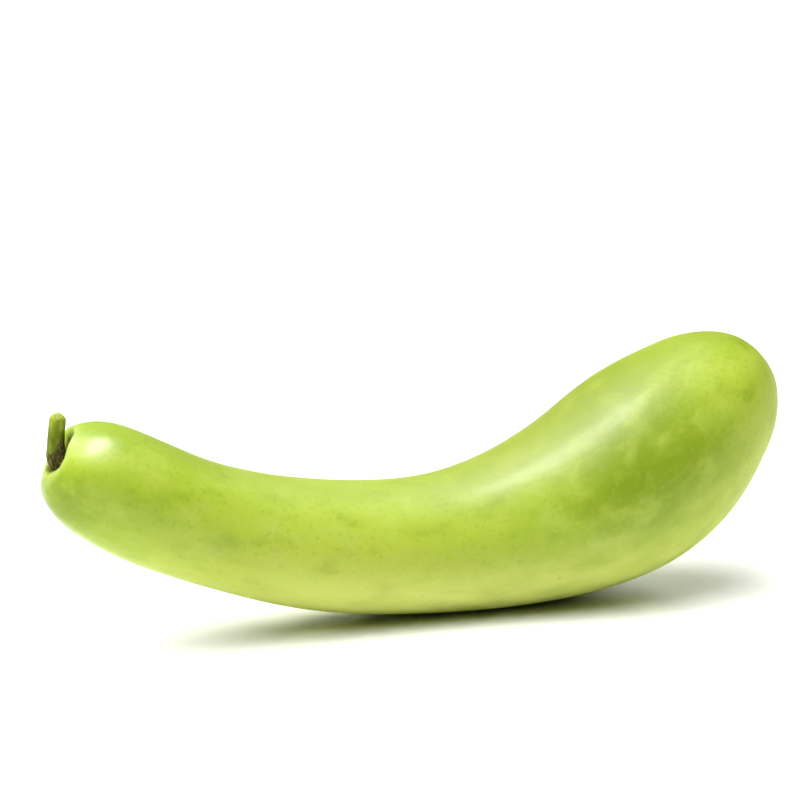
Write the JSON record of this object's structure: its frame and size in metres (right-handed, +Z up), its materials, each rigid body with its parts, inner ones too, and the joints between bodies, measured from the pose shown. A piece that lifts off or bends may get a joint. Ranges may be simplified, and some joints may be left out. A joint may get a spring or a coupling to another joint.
{
  "type": "bottle gourd",
  "caption": "Long bent bottle gourd lying on its rounded belly, slim at the stalk end and full at the blossom end, with a short stalk stub in a hollow.",
  "frame": {"origin": "centre of the bounding box at the surface the fruit lies on", "axes": "+X along the fruit from the stalk end to the blossom end, +Y across it, away from the side that shows in the main view, +Z up"},
  "size_m": [0.35, 0.0926, 0.1186],
  "materials": {
    "skin": "smooth, waxy, pale lime green, with darker mottling and fine dark pores",
    "stem_skin": "olive green, lightly ribbed, brown and corky at its foot, pale at the cut"
  },
  "bodies": {
    "root": {"gourd_body": "skin", "stem": "stem_skin"}
  },
  "joints": []
}
